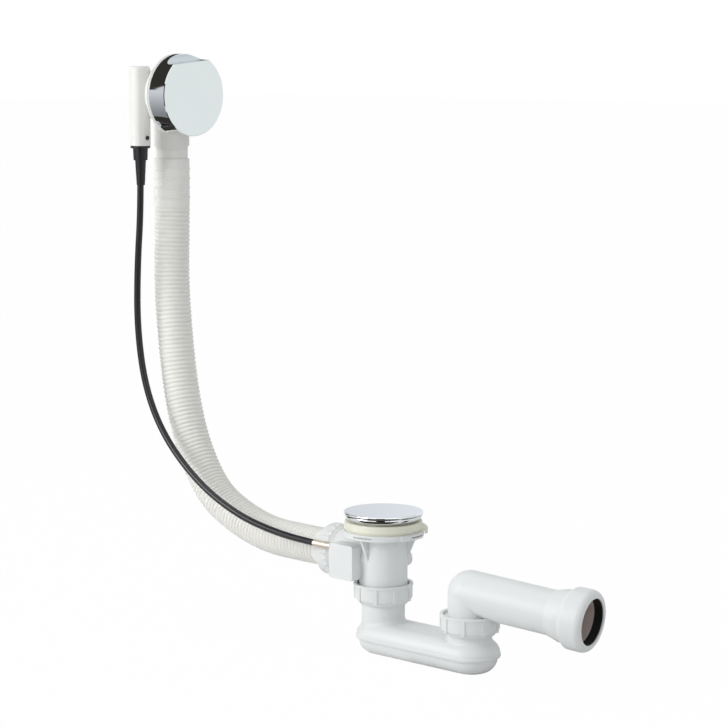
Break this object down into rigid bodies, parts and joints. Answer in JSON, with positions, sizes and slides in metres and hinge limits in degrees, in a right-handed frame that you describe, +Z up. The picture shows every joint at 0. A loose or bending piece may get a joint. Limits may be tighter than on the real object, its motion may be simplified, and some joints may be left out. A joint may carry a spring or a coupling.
{
  "type": "bath waste and overflow",
  "caption": "Bath waste with a pop-up plug worked by a rotary overflow knob through a cable, with a corrugated overflow hose and a flat swivelling trap.",
  "frame": {"origin": "centre of the bath's waste hole, in the plane of the seat on top of the bath gasket", "axes": "+Z up along the waste, +X from the overflow towards the outlet, +Y to the left of that way"},
  "size_m": [0.5356, 0.0864, 0.5391],
  "materials": {
    "plastic": "semi-gloss cool white",
    "warm_plastic": "satin warm white",
    "hose_plastic": "satin warm white",
    "cream_rubber": "translucent cream",
    "white_rubber": "soft white",
    "black_rubber": "satin black",
    "black_plastic": "satin black",
    "chrome": "polished",
    "brass": "bare",
    "steel": "bare",
    "inner_plastic": "grey"
  },
  "bodies": {
    "waste": {"waste_body": "plastic", "overflow_body": "warm_plastic", "clamp_flange": "warm_plastic", "clamp_screws": "steel", "overflow_gasket": "white_rubber", "spindle_o_ring": "black_rubber", "cable_gland": "black_plastic", "gland_screw": "black_plastic", "cable_sheath": "black_plastic", "inner_wire": "steel", "lower_ferrule": "brass", "overflow_hose": "hose_plastic", "hose_nut": "plastic", "hose_washer": "white_rubber", "cable_block_cover": "plastic", "bath_gasket": "cream_rubber", "flange_seal": "white_rubber", "waste_flange": "chrome", "shaft_o_ring": "black_rubber", "trap_inlet_nut": "plastic", "trap_inlet_washer": "black_rubber"},
    "knob": {"control_knob": "chrome", "drive_spindle": "inner_plastic"},
    "slider": {"cable_slider": "inner_plastic"},
    "wire_end": {"cable_end": "brass"},
    "lever": {"lever_shaft": "steel", "lift_finger": "inner_plastic", "crank_arm": "inner_plastic"},
    "plug": {"plug_cap": "chrome", "plug_seal": "black_rubber", "plug_stem": "inner_plastic", "stem_screw": "brass", "stem_lock_nut": "brass"},
    "trap": {"trap_upper_shell": "plastic", "trap_lower_shell": "plastic"},
    "outlet": {"outlet_bend": "plastic", "trap_outlet_nut": "plastic", "trap_outlet_washer": "black_rubber", "outlet_nut": "plastic", "outlet_seal": "black_rubber"}
  },
  "joints": [
    {"name": "knob_turn", "type": "hinge", "parent": "waste", "child": "knob", "pos_m": [-0.2534, 0, 0.3783], "axis": [-1, 0, 0], "range_deg": [0, 90]},
    {"name": "slider_slide", "type": "slide", "parent": "waste", "child": "slider", "axis": [0, 0, 1], "range_m": [0, 0.0085]},
    {"name": "wire_slide", "type": "slide", "parent": "waste", "child": "wire_end", "axis": [-1, 0, 0], "range_m": [0, 0.0085]},
    {"name": "lever_turn", "type": "hinge", "parent": "waste", "child": "lever", "pos_m": [-0.02, 0, -0.042], "axis": [0, -1, 0], "range_deg": [0, 29]},
    {"name": "plug_lift", "type": "slide", "parent": "waste", "child": "plug", "axis": [0, 0, 1], "range_m": [0, 0.0101]},
    {"name": "trap_swivel", "type": "hinge", "parent": "waste", "child": "trap", "pos_m": [0, 0, -0.072], "axis": [0, 0, 1], "range_deg": [-90, 90]},
    {"name": "outlet_swivel", "type": "hinge", "parent": "trap", "child": "outlet", "pos_m": [0.103, 0, -0.084], "axis": [0, 0, 1], "range_deg": [-90, 90]}
  ],
  "couplings": [
    {"joint": "slider_slide", "follows": "knob_turn", "m_per_rad": 0.0054},
    {"joint": "wire_slide", "follows": "knob_turn", "m_per_rad": 0.0054},
    {"joint": "lever_turn", "follows": "knob_turn", "ratio": 0.32172},
    {"joint": "plug_lift", "follows": "knob_turn", "m_per_rad": 0.006366}
  ]
}
